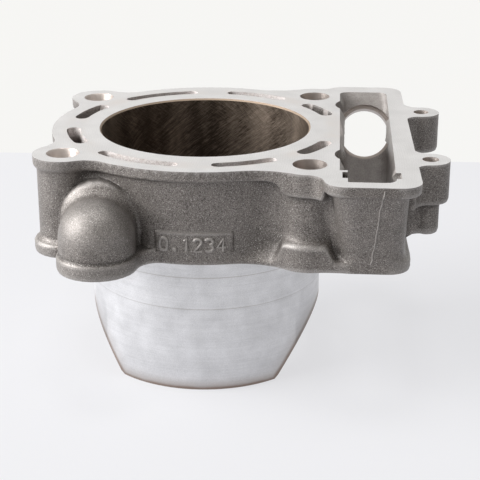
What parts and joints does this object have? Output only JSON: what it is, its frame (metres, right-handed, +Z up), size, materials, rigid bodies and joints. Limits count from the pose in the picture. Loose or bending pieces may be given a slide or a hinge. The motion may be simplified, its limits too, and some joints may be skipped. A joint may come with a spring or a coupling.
{
  "type": "engine cylinder",
  "caption": "Liquid-cooled engine cylinder casting with a plated bore, slotted deck face, side tunnel for the timing chain, domed coolant inlet and a cut-away spigot below.",
  "frame": {"origin": "on the bore axis, in the deck face", "axes": "+Z up along the bore, out of the deck face; +X towards the chain tunnel; -Y towards the side with the coolant dome and the plate"},
  "size_m": [0.1472, 0.1326, 0.089],
  "materials": {
    "cast_aluminium": "grit-blasted casting with machined faces"
  },
  "bodies": {
    "root": {"cylinder_casting": "cast_aluminium"}
  },
  "joints": []
}
